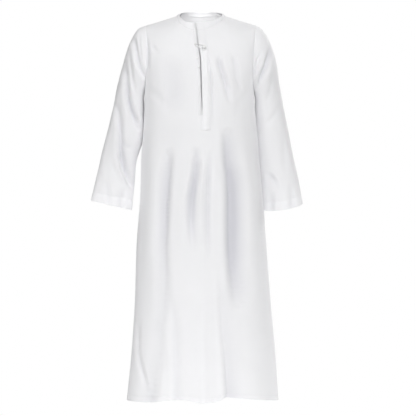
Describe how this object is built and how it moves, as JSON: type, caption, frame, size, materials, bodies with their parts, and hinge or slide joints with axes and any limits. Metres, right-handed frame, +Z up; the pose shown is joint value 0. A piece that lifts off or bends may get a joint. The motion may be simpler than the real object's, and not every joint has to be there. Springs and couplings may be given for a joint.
{
  "type": "thobe robe",
  "caption": "Ankle-length collarless cotton robe, filled out as if worn, with long straight sleeves, a narrow neckband and a front slit under a stitched strip that a corded knot and loop close.",
  "frame": {"origin": "between the wearer's shoulders, midway across the body and at the height of the sides of the neck, where the robe hangs from", "axes": "+Z up along the robe's length, the wearer faces -Y, the wearer's left is at +X"},
  "size_m": [0.774, 0.3882, 1.4169],
  "materials": {
    "robe_cloth": "matte cool white plain-weave cotton",
    "band_cloth": "matte white cotton, doubled and stitched",
    "cord": "satin white twisted cord"
  },
  "bodies": {
    "root": {"front_panel": "robe_cloth", "back_panel": "robe_cloth", "sleeve_right": "robe_cloth", "sleeve_left": "robe_cloth", "neckband": "band_cloth", "placket_top": "band_cloth", "placket_under": "band_cloth", "knot_button_top": "cord", "knot_button_middle": "cord", "knot_button_low": "cord", "button_loop": "cord"}
  },
  "joints": []
}
